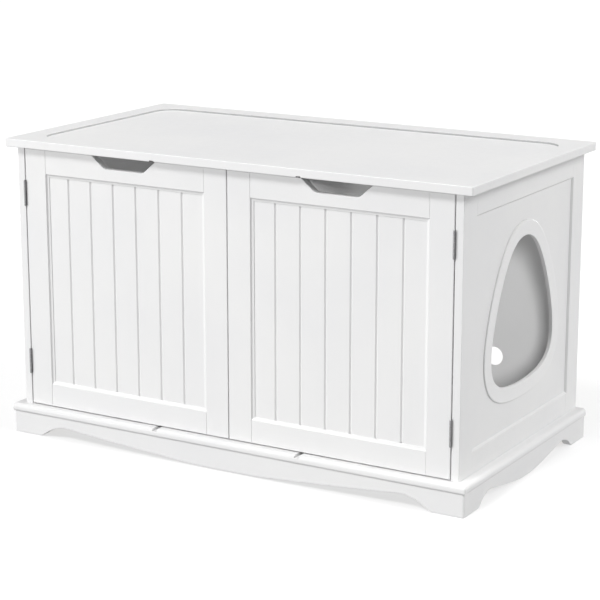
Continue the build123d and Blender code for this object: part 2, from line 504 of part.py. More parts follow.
with BuildPart() as back_panel_screws:
    with Locations(*[Location((x, Y_REAR, 51.5), (90, 0, 0)) for x in (-360.0, -180.0, 0.0, 180.0, 360.0)],
                   *[Location((sx * 438.8, Y_REAR, z), (90, 0, 0)) for sx in (1, -1) for z in (130.0, 240.0, 350.0, 460.0)]):
        Cylinder(1.25, 13.0, align=(Align.CENTER, Align.CENTER, Align.MIN))
        Cylinder(3.0, 1.6, align=(Align.CENTER, Align.CENTER, Align.MAX))
        with Locations((0, 0, -1.6)):
            Box(0.8, 3.6, 1.4, mode=Mode.SUBTRACT)
            Box(3.6, 0.8, 1.4, mode=Mode.SUBTRACT)
back_panel_screws.part.label = "back_panel_screws"
export_step(back_panel_screws.part, "parts/back_panel_screws.step")

PASS_Y, PASS_W, PASS_Z0, PASS_Z1, PASS_R = 70.0, 210.0, 120.0, 372.0, 100.0
with BuildPart() as divider_panel:
    with BuildSketch(Plane.YZ.offset(DIV_X - DIV_T / 2)) as divider_outline:
        with Locations(((DIV_Y0 + DIV_Y1) / 2, (Z_FLOOR - GROOVE_DEPTH + Z_TOP + TOP_GROOVE_DEPTH - 0.6) / 2)):
            Rectangle(DIV_Y1 - DIV_Y0, Z_TOP - Z_FLOOR + GROOVE_DEPTH + TOP_GROOVE_DEPTH - 0.6)
        with BuildLine():
            Polyline((PASS_Y - PASS_W / 2, PASS_Z0), (PASS_Y + PASS_W / 2, PASS_Z0), (PASS_Y + PASS_W / 2, PASS_Z1), (PASS_Y - PASS_W / 2, PASS_Z1), close=True)
        make_face(mode=Mode.SUBTRACT)
        fillet(divider_outline.vertices().filter_by(lambda v: abs(v.Y - PASS_Z1) < 0.01), PASS_R)
        fillet(divider_outline.vertices().filter_by(lambda v: abs(v.Y - PASS_Z0) < 0.01), 30.0)
    extrude(amount=DIV_T)
    fillet(divider_panel.edges().filter_by(lambda e: (abs(e.center().X - DIV_X) > DIV_T / 2 - 0.01) and PASS_Z0 - 1 < e.center().Z < PASS_Z1 + 1 and PASS_Y - PASS_W / 2 - 1 < e.center().Y < PASS_Y + PASS_W / 2 + 1), 1.5)
divider_panel.part.label = "divider_panel"
export_step(divider_panel.part, "parts/divider_panel.step")

# ---------------------------------------------------------------- right door
with BuildPart() as right_door_hinge_stile:
    with BuildSketch(Plane.XZ.offset(-Y_FACE)):
        # butted to the rails, with the moulded edge mitred into theirs
        with BuildLine():
            Polyline((DOOR_X1, DOOR_Z0), (DOOR_X1, DOOR_Z1), (FACE_X1, DOOR_Z1), (FACE_X1, FACE_Z1), (PANEL_X1, PANEL_Z1), (PANEL_X1, PANEL_Z0), (FACE_X1, FACE_Z0), (FACE_X1, DOOR_Z0), close=True)
        make_face()
    extrude(amount=-DOOR_T)
    fillet(right_door_hinge_stile.edges().filter_by(lambda e: abs(e.center().Y - Y_FACE) < 0.01 and (abs(e.center().X - DOOR_X1) < 0.01 or abs(e.center().Z - DOOR_Z0) < 0.01 or abs(e.center().Z - DOOR_Z1) < 0.01)), DOOR_ROUND)
    add(door_bevel.part, mode=Mode.SUBTRACT)
    add(door_groove.part, mode=Mode.SUBTRACT)
    with Locations(*[Location((DOOR_X1, HINGE_SCREW_Y, z + d), (0, -90, 0)) for z in HINGE_Z for d in (-HINGE_SCREW_DZ, HINGE_SCREW_DZ)]):
        Cylinder(1.4 + SLIP, 14.0, align=(Align.CENTER, Align.CENTER, Align.MIN), mode=Mode.SUBTRACT)
        Cylinder(1.9, 0.6, align=(Align.CENTER, Align.CENTER, Align.MIN), mode=Mode.SUBTRACT)
right_door_hinge_stile.part.label = "right_door_hinge_stile"
export_step(right_door_hinge_stile.part, "parts/right_door_hinge_stile.step")

STRIKE_Z = Z_TOP - 9.0
with BuildPart() as right_door_meeting_stile:
    with BuildSketch(Plane.XZ.offset(-Y_FACE)):
        with BuildLine():
            Polyline((DOOR_X0, DOOR_Z0), (DOOR_X0, DOOR_Z1), (FACE_X0, DOOR_Z1), (FACE_X0, FACE_Z1), (PANEL_X0, PANEL_Z1), (PANEL_X0, PANEL_Z0), (FACE_X0, FACE_Z0), (FACE_X0, DOOR_Z0), close=True)
        make_face()
    extrude(amount=-DOOR_T)
    fillet(right_door_meeting_stile.edges().filter_by(lambda e: abs(e.center().Y - Y_FACE) < 0.01 and (abs(e.center().X - DOOR_X0) < 0.01 or abs(e.center().Z - DOOR_Z0) < 0.01 or abs(e.center().Z - DOOR_Z1) < 0.01)), DOOR_ROUND)
    add(door_bevel.part, mode=Mode.SUBTRACT)
    add(door_groove.part, mode=Mode.SUBTRACT)
    with Locations(*[Location((x, Y_FACE + DOOR_T, STRIKE_Z), (90, 0, 0)) for x in (CATCH_X - 12.0, CATCH_X + 12.0)]):
        Cylinder(1.25 + SLIP, 9.0, align=(Align.CENTER, Align.CENTER, Align.MIN), mode=Mode.SUBTRACT)
        Cylinder(1.8, 0.8, align=(Align.CENTER, Align.CENTER, Align.MIN), mode=Mode.SUBTRACT)
right_door_meeting_stile.part.label = "right_door_meeting_stile"
export_step(right_door_meeting_stile.part, "parts/right_door_meeting_stile.step")

with BuildPart() as right_door_top_rail:
    with BuildSketch(Plane.XZ.offset(-Y_FACE)) as pull_outline:
        with BuildLine():
            Polyline((FACE_X0, FACE_Z1), (PANEL_X0, PANEL_Z1), (PANEL_X1, PANEL_Z1), (FACE_X1, FACE_Z1), (FACE_X1, DOOR_Z1), (PULL_X + PULL_TOP, DOOR_Z1), (PULL_X + PULL_LOW, PULL_Z), (PULL_X - PULL_LOW, PULL_Z), (PULL_X - PULL_TOP, DOOR_Z1), (FACE_X0, DOOR_Z1), close=True)
        make_face()
        fillet(pull_outline.vertices().filter_by(lambda v: abs(v.Y - PULL_Z) < 0.01), 14.0)
        fillet(pull_outline.vertices().filter_by(lambda v: abs(v.Y - DOOR_Z1) < 0.01 and abs(v.X - PULL_X) < PULL_TOP + 1), 7.0)
    extrude(amount=-DOOR_T)
    chamfer(right_door_top_rail.edges().filter_by(Axis.Z).filter_by(lambda e: abs(e.center().Y - Y_FACE) < 0.01), JOINT_V)
    fillet(right_door_top_rail.edges().filter_by(lambda e: abs(e.center().Y - Y_FACE) < 0.01 and e.center().Z > PULL_Z - 1 and PANEL_X0 + 2 < e.center().X < PANEL_X1 - 2), DOOR_ROUND)
    fillet(right_door_top_rail.edges().filter_by(lambda e: abs(e.center().Y - Y_FACE - DOOR_T) < 0.01 and e.center().Z > PULL_Z - 1 and abs(e.center().X - PULL_X) < PULL_TOP + 4), DOOR_ROUND)
    add(door_bevel.part, mode=Mode.SUBTRACT)
    add(door_groove.part, mode=Mode.SUBTRACT)
right_door_top_rail.part.label = "right_door_top_rail"
export_step(right_door_top_rail.part, "parts/right_door_top_rail.step")

with BuildPart() as right_door_bottom_rail:
    with BuildSketch(Plane.XZ.offset(-Y_FACE)):
        with BuildLine():
            Polyline((FACE_X0, DOOR_Z0), (FACE_X1, DOOR_Z0), (FACE_X1, FACE_Z0), (PANEL_X1, PANEL_Z0), (PANEL_X0, PANEL_Z0), (FACE_X0, FACE_Z0), close=True)
        make_face()
    extrude(amount=-DOOR_T)
    chamfer(right_door_bottom_rail.edges().filter_by(Axis.Z).filter_by(lambda e: abs(e.center().Y - Y_FACE) < 0.01), JOINT_V)
    fillet(right_door_bottom_rail.edges().filter_by(lambda e: abs(e.center().Y - Y_FACE) < 0.01 and abs(e.center().Z - DOOR_Z0) < 0.01), DOOR_ROUND)
    add(door_bevel.part, mode=Mode.SUBTRACT)
    add(door_groove.part, mode=Mode.SUBTRACT)
right_door_bottom_rail.part.label = "right_door_bottom_rail"
export_step(right_door_bottom_rail.part, "parts/right_door_bottom_rail.step")

# beadboard: upright boards divided by V grooves in the face
BX0, BX1 = PANEL_X0 - TONGUE + TONGUE_GAP, PANEL_X1 + TONGUE - TONGUE_GAP
section = [(BX0, PANEL_Y0)]
for i in range(1, BOARDS):
    gx = PX + (i - BOARDS / 2) * BOARD_PITCH
    section += [(gx - V_HALF, PANEL_Y0), (gx, PANEL_Y0 + V_DEPTH), (gx + V_HALF, PANEL_Y0)]
section += [(BX1, PANEL_Y0), (BX1, PANEL_Y0 + PANEL_T), (BX0, PANEL_Y0 + PANEL_T)]
with BuildPart() as right_door_panel:
    with BuildSketch(Plane.XY.offset(PANEL_Z0 - TONGUE + TONGUE_GAP)):
        with BuildLine():
            Polyline(*section, close=True)
        make_face()
    extrude(amount=PANEL_Z1 - PANEL_Z0 + 2 * (TONGUE - TONGUE_GAP))
right_door_panel.part.label = "right_door_panel"
export_step(right_door_panel.part, "parts/right_door_panel.step")

# ---------------------------------------------------------------- hinges, right side
SEG = HINGE_H / 5                     # five knuckles: three on the frame leaf, two on the door leaf
with BuildPart() as right_frame_hinge_leaves:
    for zc in HINGE_Z:
        z0 = zc - HINGE_H / 2
        with Locations((X_IN - LEAF_T / 2, (Y_FACE + LEAF_Y1) / 2, zc)):
            Box(LEAF_T, LEAF_Y1 - Y_FACE, HINGE_H)
        for k in (0, 2, 4):
            a = z0 + k * SEG + (KNUCKLE_GAP / 2 if k else 0)
            b = z0 + (k + 1) * SEG - (KNUCKLE_GAP / 2 if k < 4 else 0)
            with Locations((PIN_X, PIN_Y, (a + b) / 2)):
                Cylinder(KNUCKLE_R, b - a)
            with Locations((X_IN - LEAF_T / 2, (PIN_Y + KNUCKLE_ROOT + Y_FACE) / 2, (a + b) / 2)):
                Box(LEAF_T, Y_FACE - PIN_Y - KNUCKLE_ROOT, b - a)
        with Locations((PIN_X, PIN_Y, zc)):
            Cylinder(BORE_R, HINGE_H + 4, mode=Mode.SUBTRACT)
    with Locations(*[Location((X_IN - LEAF_T, HINGE_SCREW_Y, z + d), (0, 90, 0)) for z in HINGE_Z for d in (-HINGE_SCREW_DZ, HINGE_SCREW_DZ)]):
        Cone(2.65, 1.55, 1.1, align=(Align.CENTER, Align.CENTER, Align.MIN), mode=Mode.SUBTRACT)
right_frame_hinge_leaves.part.label = "right_frame_hinge_leaves"
export_step(right_frame_hinge_leaves.part, "parts/right_frame_hinge_leaves.step")

with BuildPart() as right_door_hinge_leaves:
    for zc in HINGE_Z:
        z0 = zc - HINGE_H / 2
        with Locations((DOOR_X1 + LEAF_T / 2, (Y_FACE + LEAF_Y1) / 2, zc)):
            Box(LEAF_T, LEAF_Y1 - Y_FACE, HINGE_H)
        for k in (1, 3):
            a = z0 + k * SEG + KNUCKLE_GAP / 2
            b = z0 + (k + 1) * SEG - KNUCKLE_GAP / 2
            with Locations((PIN_X, PIN_Y, (a + b) / 2)):
                Cylinder(KNUCKLE_R, b - a)
            with Locations((DOOR_X1 + LEAF_T / 2, (PIN_Y + KNUCKLE_ROOT + Y_FACE) / 2, (a + b) / 2)):
                Box(LEAF_T, Y_FACE - PIN_Y - KNUCKLE_ROOT, b - a)
        with Locations((PIN_X, PIN_Y, zc)):
            Cylinder(BORE_R, HINGE_H + 4, mode=Mode.SUBTRACT)
    with Locations(*[Location((DOOR_X1 + LEAF_T, HINGE_SCREW_Y, z + d), (0, -90, 0)) for z in HINGE_Z for d in (-HINGE_SCREW_DZ, HINGE_SCREW_DZ)]):
        Cone(2.65, 1.55, 1.1, align=(Align.CENTER, Align.CENTER, Align.MIN), mode=Mode.SUBTRACT)
right_door_hinge_leaves.part.label = "right_door_hinge_leaves"
export_step(right_door_hinge_leaves.part, "parts/right_door_hinge_leaves.step")

with BuildPart() as right_hinge_pins:
    for zc in HINGE_Z:
        with Locations((PIN_X, PIN_Y, zc)):
            Cylinder(PIN_R, HINGE_H + 0.4)
        with Locations((PIN_X, PIN_Y, zc + HINGE_H / 2 + 0.2)):
            Cone(1.75, 1.0, 1.0, align=(Align.CENTER, Align.CENTER, Align.MIN))
        with Locations((PIN_X, PIN_Y, zc - HINGE_H / 2 - 0.2)):
            Cone(1.0, 1.75, 1.0, align=(Align.CENTER, Align.CENTER, Align.MAX))
right_hinge_pins.part.label = "right_hinge_pins"
export_step(right_hinge_pins.part, "parts/right_hinge_pins.step")

with BuildPart() as right_door_hinge_screws:
    with Locations(*[Location((DOOR_X1 + LEAF_T, HINGE_SCREW_Y, z + d), (0, -90, 0)) for z in HINGE_Z for d in (-HINGE_SCREW_DZ, HINGE_SCREW_DZ)]):
        Cone(2.55, 1.4, 1.15, align=(Align.CENTER, Align.CENTER, Align.MIN))
        Cylinder(1.4, 13.5, align=(Align.CENTER, Align.CENTER, Align.MIN))
        Box(0.6, 2.8, 1.0, mode=Mode.SUBTRACT)
        Box(2.8, 0.6, 1.0, mode=Mode.SUBTRACT)
right_door_hinge_screws.part.label = "right_door_hinge_screws"
export_step(right_door_hinge_screws.part, "parts/right_door_hinge_screws.step")

with BuildPart() as frame_hinge_screws:
    with Locations(*[Location((X_IN - LEAF_T, HINGE_SCREW_Y, z + d), (0, 90, 0)) for z in HINGE_Z for d in (-HINGE_SCREW_DZ, HINGE_SCREW_DZ)],
                   *[Location((-X_IN + LEAF_T, HINGE_SCREW_Y, z + d), (0, -90, 0)) for z in HINGE_Z for d in (-HINGE_SCREW_DZ, HINGE_SCREW_DZ)]):
        Cone(2.55, 1.4, 1.15, align=(Align.CENTER, Align.CENTER, Align.MIN))
        Cylinder(1.4, 11.0, align=(Align.CENTER, Align.CENTER, Align.MIN))
        Box(0.6, 2.8, 1.0, mode=Mode.SUBTRACT)
        Box(2.8, 0.6, 1.0, mode=Mode.SUBTRACT)
frame_hinge_screws.part.label = "frame_hinge_screws"
export_step(frame_hinge_screws.part, "parts/frame_hinge_screws.step")

# ---------------------------------------------------------------- magnetic catches and strike plates
MAGNET_W, MAGNET_H, MAGNET_D = 22.0, 6.0, 5.0
with BuildPart() as door_catches:
    for sx in (1, -1):
        with Locations((sx * CATCH_X, CATCH_Y0 + CATCH_D / 2, Z_TOP - CATCH_H / 2)):
            Box(CATCH_W, CATCH_D, CATCH_H)
    fillet(door_catches.edges().filter_by(Axis.Z), 2.0)
    fillet(door_catches.faces().filter_by(Plane.XY).group_by(Axis.Z)[0].edges(), 1.0)
    for sx in (1, -1):
        with Locations((sx * CATCH_X, CATCH_Y0 + CATCH_D / 2, Z_TOP - 1.5)):
            Box(CATCH_W + 16.0, CATCH_D - 4.0, 3.0)
        with Locations((sx * CATCH_X, CATCH_Y0 + MAGNET_D / 2, STRIKE_Z)):
            Box(MAGNET_W + 0.1, MAGNET_D, MAGNET_H + 0.1, mode=Mode.SUBTRACT)
    with Locations(*[(sx * CATCH_X + e, CATCH_Y0 + CATCH_D / 2, Z_TOP - 1.5) for sx in (1, -1) for e in (-19.0, 19.0)]):
        Cylinder(1.6, 6, mode=Mode.SUBTRACT)
door_catches.part.label = "door_catches"
export_step(door_catches.part, "parts/door_catches.step")

with BuildPart() as catch_magnets:
    with Locations(*[(sx * CATCH_X, CATCH_Y0 + MAGNET_D / 2, STRIKE_Z) for sx in (1, -1)]):
        Box(MAGNET_W, MAGNET_D, MAGNET_H)
catch_magnets.part.label = "catch_magnets"
export_step(catch_magnets.part, "parts/catch_magnets.step")

with BuildPart() as catch_screws:
    with Locations(*[(sx * CATCH_X + e, CATCH_Y0 + CATCH_D / 2, Z_TOP - 3.0) for sx in (1, -1) for e in (-19.0, 19.0)]):
        Cylinder(1.4, 10.0, align=(Align.CENTER, Align.CENTER, Align.MIN))
        Cylinder(2.9, 1.8, align=(Align.CENTER, Align.CENTER, Align.MAX))
        with Locations((0, 0, -1.8)):
            Box(0.8, 3.4, 1.6, mode=Mode.SUBTRACT)
            Box(3.4, 0.8, 1.6, mode=Mode.SUBTRACT)
catch_screws.part.label = "catch_screws"
export_step(catch_screws.part, "parts/catch_screws.step")

with BuildPart() as right_door_strike_plate:
    with BuildSketch(Plane.XZ.offset(-Y_FACE - DOOR_T)):
        with Locations((CATCH_X, STRIKE_Z)):
            RectangleRounded(34.0, 12.0, 2.5)
    extrude(amount=-STRIKE_T)
    with Locations(*[Location((x, Y_FACE + DOOR_T + STRIKE_T, STRIKE_Z), (90, 0, 0)) for x in (CATCH_X - 12.0, CATCH_X + 12.0)]):
        Cone(2.5, 1.3, 1.2, align=(Align.CENTER, Align.CENTER, Align.MIN), mode=Mode.SUBTRACT)
right_door_strike_plate.part.label = "right_door_strike_plate"
export_step(right_door_strike_plate.part, "parts/right_door_strike_plate.step")

with BuildPart() as right_door_strike_screws:
    with Locations(*[Location((x, Y_FACE + DOOR_T + STRIKE_T, STRIKE_Z), (90, 0, 0)) for x in (CATCH_X - 12.0, CATCH_X + 12.0)]):
        Cone(2.4, 1.25, 1.15, align=(Align.CENTER, Align.CENTER, Align.MIN))
        Cylinder(1.25, 9.5, align=(Align.CENTER, Align.CENTER, Align.MIN))
        Box(0.6, 2.6, 1.0, mode=Mode.SUBTRACT)
        Box(2.6, 0.6, 1.0, mode=Mode.SUBTRACT)
right_door_strike_screws.part.label = "right_door_strike_screws"
export_step(right_door_strike_screws.part, "parts/right_door_strike_screws.step")

# ---------------------------------------------------------------- left door and its hinges: mirror images
with BuildPart() as left_door_hinge_stile:
    mirror(right_door_hinge_stile.part, about=Plane.YZ)
left_door_hinge_stile.part.label = "left_door_hinge_stile"
export_step(left_door_hinge_stile.part, "parts/left_door_hinge_stile.step")

with BuildPart() as left_door_meeting_stile:
    mirror(right_door_meeting_stile.part, about=Plane.YZ)
left_door_meeting_stile.part.label = "left_door_meeting_stile"
export_step(left_door_meeting_stile.part, "parts/left_door_meeting_stile.step")

with BuildPart() as left_door_top_rail:
    mirror(right_door_top_rail.part, about=Plane.YZ)
left_door_top_rail.part.label = "left_door_top_rail"
export_step(left_door_top_rail.part, "parts/left_door_top_rail.step")

with BuildPart() as left_door_bottom_rail:
    mirror(right_door_bottom_rail.part, about=Plane.YZ)
left_door_bottom_rail.part.label = "left_door_bottom_rail"
export_step(left_door_bottom_rail.part, "parts/left_door_bottom_rail.step")

with BuildPart() as left_door_panel:
    mirror(right_door_panel.part, about=Plane.YZ)
left_door_panel.part.label = "left_door_panel"
export_step(left_door_panel.part, "parts/left_door_panel.step")

with BuildPart() as left_frame_hinge_leaves:
    mirror(right_frame_hinge_leaves.part, about=Plane.YZ)
left_frame_hinge_leaves.part.label = "left_frame_hinge_leaves"
export_step(left_frame_hinge_leaves.part, "parts/left_frame_hinge_leaves.step")

with BuildPart() as left_door_hinge_leaves:
    mirror(right_door_hinge_leaves.part, about=Plane.YZ)
left_door_hinge_leaves.part.label = "left_door_hinge_leaves"
export_step(left_door_hinge_leaves.part, "parts/left_door_hinge_leaves.step")

with BuildPart() as left_hinge_pins:
    mirror(right_hinge_pins.part, about=Plane.YZ)
left_hinge_pins.part.label = "left_hinge_pins"
export_step(left_hinge_pins.part, "parts/left_hinge_pins.step")

with BuildPart() as left_door_hinge_screws:
    mirror(right_door_hinge_screws.part, about=Plane.YZ)
left_door_hinge_screws.part.label = "left_door_hinge_screws"
export_step(left_door_hinge_screws.part, "parts/left_door_hinge_screws.step")

with BuildPart() as left_door_strike_plate:
    mirror(right_door_strike_plate.part, about=Plane.YZ)
left_door_strike_plate.part.label = "left_door_strike_plate"
export_step(left_door_strike_plate.part, "parts/left_door_strike_plate.step")

with BuildPart() as left_door_strike_screws:
    mirror(right_door_strike_screws.part, about=Plane.YZ)
left_door_strike_screws.part.label = "left_door_strike_screws"
export_step(left_door_strike_screws.part, "parts/left_door_strike_screws.step")

# ---------------------------------------------------------------- knock-down fittings
CAM_ROWS = [(sx, y, z, up) for sx in (1, -1) for y in CAM_Y for z, up in ((Z_TOP - CAM_DROP, 1), (Z_FLOOR + CAM_DROP, -1))]
with BuildPart() as cam_nuts:
    for sx, y, z, up in CAM_ROWS:
        with Locations(Location((sx * X_IN, y, z), (0, sx * 90, 0))):
            Cylinder(CAM_R, CAM_L - 0.2, align=(Align.CENTER, Align.CENTER, Align.MIN))
        # slot that takes the bolt's head, and the cross for the driver
        with Locations((sx * FIT_X, y, z + up * (CAM_R / 2 + 0.5))):
            Cylinder(BOLT_R + 0.4, CAM_R + 1.0 + 1.0, mode=Mode.SUBTRACT)
        with Locations(Location((sx * X_IN, y, z), (0, sx * 90, 0))):
            Box(1.2, 7.0, 3.0, mode=Mode.SUBTRACT)
            Box(7.0, 1.2, 3.0, mode=Mode.SUBTRACT)
cam_nuts.part.label = "cam_nuts"
export_step(cam_nuts.part, "parts/cam_nuts.step")

with BuildPart() as cam_bolts:
    for sx, y, z, up in CAM_ROWS:
        joint = Z_TOP if up == 1 else Z_FLOOR
        tip = z + up * 1.0
        with Locations((sx * FIT_X, y, (joint + tip) / 2)):
            Cylinder(2.2, abs(joint - tip))
        with Locations((sx * FIT_X, y, tip + up * 1.5)):
            Cylinder(BOLT_R, 3.0)
        with Locations((sx * FIT_X, y, joint - up * 2.0)):
            Cylinder(BOLT_R, 4.0)
        with Locations((sx * FIT_X, y, joint + up * BOLT_THREAD_L / 2)):
            Cylinder(BOLT_THREAD_R, BOLT_THREAD_L)
cam_bolts.part.label = "cam_bolts"
export_step(cam_bolts.part, "parts/cam_bolts.step")

with BuildPart() as wood_dowels:
    for sx in (1, -1):
        for y in DOWEL_Y:
            with Locations((sx * FIT_X, y, Z_TOP + (DOWEL_UP - DOWEL_IN) / 2)):
                Cylinder(DOWEL_R, DOWEL_UP + DOWEL_IN)
            with Locations((sx * FIT_X, y, Z_FLOOR - (DOWEL_UP - DOWEL_IN) / 2)):
                Cylinder(DOWEL_R, DOWEL_UP + DOWEL_IN)
    chamfer(wood_dowels.edges().filter_by(GeomType.CIRCLE), 0.8)
wood_dowels.part.label = "wood_dowels"
export_step(wood_dowels.part, "parts/wood_dowels.step")
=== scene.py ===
import json
import math

import bpy
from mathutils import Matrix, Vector

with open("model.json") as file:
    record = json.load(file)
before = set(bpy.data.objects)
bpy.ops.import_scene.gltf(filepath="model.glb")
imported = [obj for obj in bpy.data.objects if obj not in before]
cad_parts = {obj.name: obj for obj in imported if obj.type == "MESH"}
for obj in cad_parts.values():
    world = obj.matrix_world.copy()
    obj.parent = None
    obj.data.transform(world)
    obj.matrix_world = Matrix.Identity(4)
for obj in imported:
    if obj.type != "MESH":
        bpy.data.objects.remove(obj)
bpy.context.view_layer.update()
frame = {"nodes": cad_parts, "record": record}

nodes = frame["nodes"]
scene = bpy.context.scene

# ------------------------------------------------------------------ node helpers


class Mat:
    """A small helper for building one procedural material."""

    def __init__(self, name):
        self.mat = bpy.data.materials.new(name)
        self.mat.use_nodes = True
        self.nt = self.mat.node_tree
        self.nt.nodes.clear()
        self.out = self.add("ShaderNodeOutputMaterial")
        self.bsdf = self.add("ShaderNodeBsdfPrincipled")
        self.link(self.bsdf.outputs["BSDF"], self.out.inputs["Surface"])
        self.coord = self.add("ShaderNodeTexCoord").outputs["Object"]

    def add(self, kind, **props):
        n = self.nt.nodes.new(kind)
        for k, v in props.items():
            setattr(n, k, v)
        return n

    def link(self, a, b):
        self.nt.links.new(a, b)

    def put(self, value, socket):
        """A constant or a link into a socket."""
        if isinstance(value, bpy.types.NodeSocket):
            self.link(value, socket)
        else:
            socket.default_value = value

    def noise(self, scale, detail=2.0, rough=0.5, stretch=None, distort=0.0, vec=None):
        v = vec or self.coord
        if stretch:
            m = self.add("ShaderNodeMapping")
            m.inputs["Scale"].default_value = stretch
            self.link(v, m.inputs["Vector"])
            v = m.outputs["Vector"]
        n = self.add("ShaderNodeTexNoise")
        n.inputs["Scale"].default_value = scale
        n.inputs["Detail"].default_value = detail
        n.inputs["Roughness"].default_value = rough
        n.inputs["Distortion"].default_value = distort
        self.link(v, n.inputs["Vector"])
        return n.outputs["Fac"]

    def math(self, op, a, b=None, clamp=False):
        n = self.add("ShaderNodeMath", operation=op, use_clamp=clamp)
        self.put(a, n.inputs[0])
        if b is not None:
            self.put(b, n.inputs[1])
        return n.outputs[0]

    def ramp(self, fac, lo, hi, a, b, smooth=True):
        """fac from lo..hi to a..b."""
        n = self.add("ShaderNodeMapRange")
        n.interpolation_type = "SMOOTHSTEP" if smooth else "LINEAR"
        self.link(fac, n.inputs["Value"])
        for k, v in (("From Min", lo), ("From Max", hi), ("To Min", a), ("To Max", b)):
            n.inputs[k].default_value = v
        return n.outputs["Result"]

    def mix(self, fac, a, b, blend="MIX"):
        n = self.add("ShaderNodeMix", data_type="RGBA", blend_type=blend)
        self.put(fac, n.inputs[0])
        self.put(a, n.inputs[6])
        self.put(b, n.inputs[7])
        return n.outputs[2]

    def bump(self, height, distance, strength=1.0, normal=None):
        n = self.add("ShaderNodeBump")
        n.inputs["Strength"].default_value = strength
        n.inputs["Distance"].default_value = distance
        self.link(height, n.inputs["Height"])
        if normal is not None:
            self.link(normal, n.inputs["Normal"])
        return n.outputs["Normal"]

    def crease_shade(self, distance, samples=8):
        """Ambient occlusion, used to paint shade into corners: 1 on open faces, towards 0 in narrow corners."""
        n = self.add("ShaderNodeAmbientOcclusion", samples=samples)
        n.inputs["Distance"].default_value = distance
        return n.outputs["AO"]

    def edge(self, distance, samples=6):
        """1 inside a face, lower close to an outer edge."""
        n = self.add("ShaderNodeAmbientOcclusion", samples=samples, inside=True, only_local=True)
        n.inputs["Distance"].default_value = distance
        return n.outputs["AO"]

    def facing_up(self):
        g = self.add("ShaderNodeNewGeometry")
        s = self.add("ShaderNodeSeparateXYZ")
        self.link(g.outputs["Normal"], s.inputs[0])
        return s.outputs[2]


def grey(v, tint=(0.0, 0.0, 0.0)):
    return (v + tint[0], v + tint[1], v + tint[2], 1.0)


# ------------------------------------------------------------------ finishes
WHITE = 0.77


def paint(name, base=WHITE, rough=0.42, peel=1.0, crease_shade=0.10, reach=0.006):
    """Satin white lacquer on fibreboard: fine orange peel, faint cloudiness, painted shade in creases and a
    painted highlight along outer edges.
    """
    m = Mat(name)
    cloud = m.noise(5.0, 3.0, 0.55)
    fleck = m.noise(650.0, 2.0, 0.6)
    roller = m.noise(90.0, 3.0, 0.6, stretch=(1.0, 1.0, 0.35))
    c = m.mix(m.ramp(cloud, 0.3, 0.7, 0.0, 1.0), grey(base * 0.985, (0.0, 0.0, 0.004)), grey(base * 1.012, (0.003, 0.002, 0.0)))
    c = m.mix(m.ramp(fleck, 0.35, 0.75, 0.0, 0.05), c, grey(base * 0.86))
    # painted shade: everything that doesn't face up is painted greyer where another face stands close, in place of
    # shade in creases and corners
    ao = m.crease_shade(reach)
    up = m.ramp(m.facing_up(), 0.25, 0.9, 1.0, 0.15)
    painted_shade = m.math("MULTIPLY", m.ramp(ao, 0.28, 0.92, crease_shade, 0.0), up)
    c = m.mix(painted_shade, c, grey(base * 0.30, (0.0, 0.0, 0.003)))
    # outer edges: painted highlight, the base colour is lightened near outer edges; the lacquer is also a little
    # smoother there
    edge_highlight_and_rub = m.ramp(m.edge(0.0022), 0.45, 0.9, 1.0, 0.0)
    c = m.mix(m.math("MULTIPLY", edge_highlight_and_rub, 0.4), c, grey(min(0.9, base * 1.1)))
    m.link(c, m.bsdf.inputs["Base Color"])
    r = m.ramp(roller, 0.25, 0.75, rough - 0.05, rough + 0.06)
    m.link(m.math("SUBTRACT", r, m.math("MULTIPLY", edge_highlight_and_rub, 0.06)), m.bsdf.inputs["Roughness"])
    m.bsdf.inputs["Specular IOR Level"].default_value = 0.42
    fine = m.noise(420.0, 2.0, 0.5)
    n1 = m.bump(fine, 0.00012 * peel, 0.35)
    n2 = m.bump(roller, 0.00018 * peel, 0.25, n1)
    m.link(n2, m.bsdf.inputs["Normal"])
    return m.mat


def back_sheet():
    """Thin hardboard: lacquered white inside, pale and fibrous with a faint screen pattern outside."""
    m = Mat("back_sheet")
    g = m.add("ShaderNodeNewGeometry")
    s = m.add("ShaderNodeSeparateXYZ")
    m.link(g.outputs["Normal"], s.inputs[0])
    outside = m.ramp(s.outputs[1], 0.2, 0.8, 0.0, 1.0)
    cloud = m.noise(6.0, 3.0, 0.6)
    fibre = m.noise(160.0, 4.0, 0.65, stretch=(1.0, 1.0, 3.0), distort=0.6)
    weave_x = m.add("ShaderNodeTexWave", wave_type="BANDS", bands_direction="X")
    weave_z = m.add("ShaderNodeTexWave", wave_type="BANDS", bands_direction="Z")
    for w in (weave_x, weave_z):
        w.inputs["Scale"].default_value = 130.0
        w.inputs["Distortion"].default_value = 0.4
        m.link(m.coord, w.inputs["Vector"])
    weave = m.math("MULTIPLY", weave_x.outputs["Fac"], weave_z.outputs["Fac"])
    white = m.mix(m.ramp(cloud, 0.3, 0.7, 0.0, 1.0), grey(0.685), grey(0.71, (0.002, 0.001, 0.0)))
    pale = m.mix(m.ramp(fibre, 0.3, 0.75, 0.0, 1.0), (0.60, 0.585, 0.56, 1.0), (0.69, 0.68, 0.66, 1.0))
    pale = m.mix(m.math("MULTIPLY", weave, 0.12), pale, (0.5, 0.485, 0.46, 1.0))
    c = m.mix(outside, white, pale)
    # painted shade: darker where another face stands close, in the corners and along the joints
    ao = m.crease_shade(0.012)
    c = m.mix(m.ramp(ao, 0.25, 0.9, 0.5, 0.0), c, grey(0.22))
    m.link(c, m.bsdf.inputs["Base Color"])
    m.link(m.ramp(fibre, 0.3, 0.7, 0.5, 0.68), m.bsdf.inputs["Roughness"])
    m.bsdf.inputs["Specular IOR Level"].default_value = 0.35
    n1 = m.bump(fibre, 0.00012, 0.4)
    m.link(m.bump(m.math("MULTIPLY", weave, outside), 0.0002, 0.35, n1), m.bsdf.inputs["Normal"])
    return m.mat


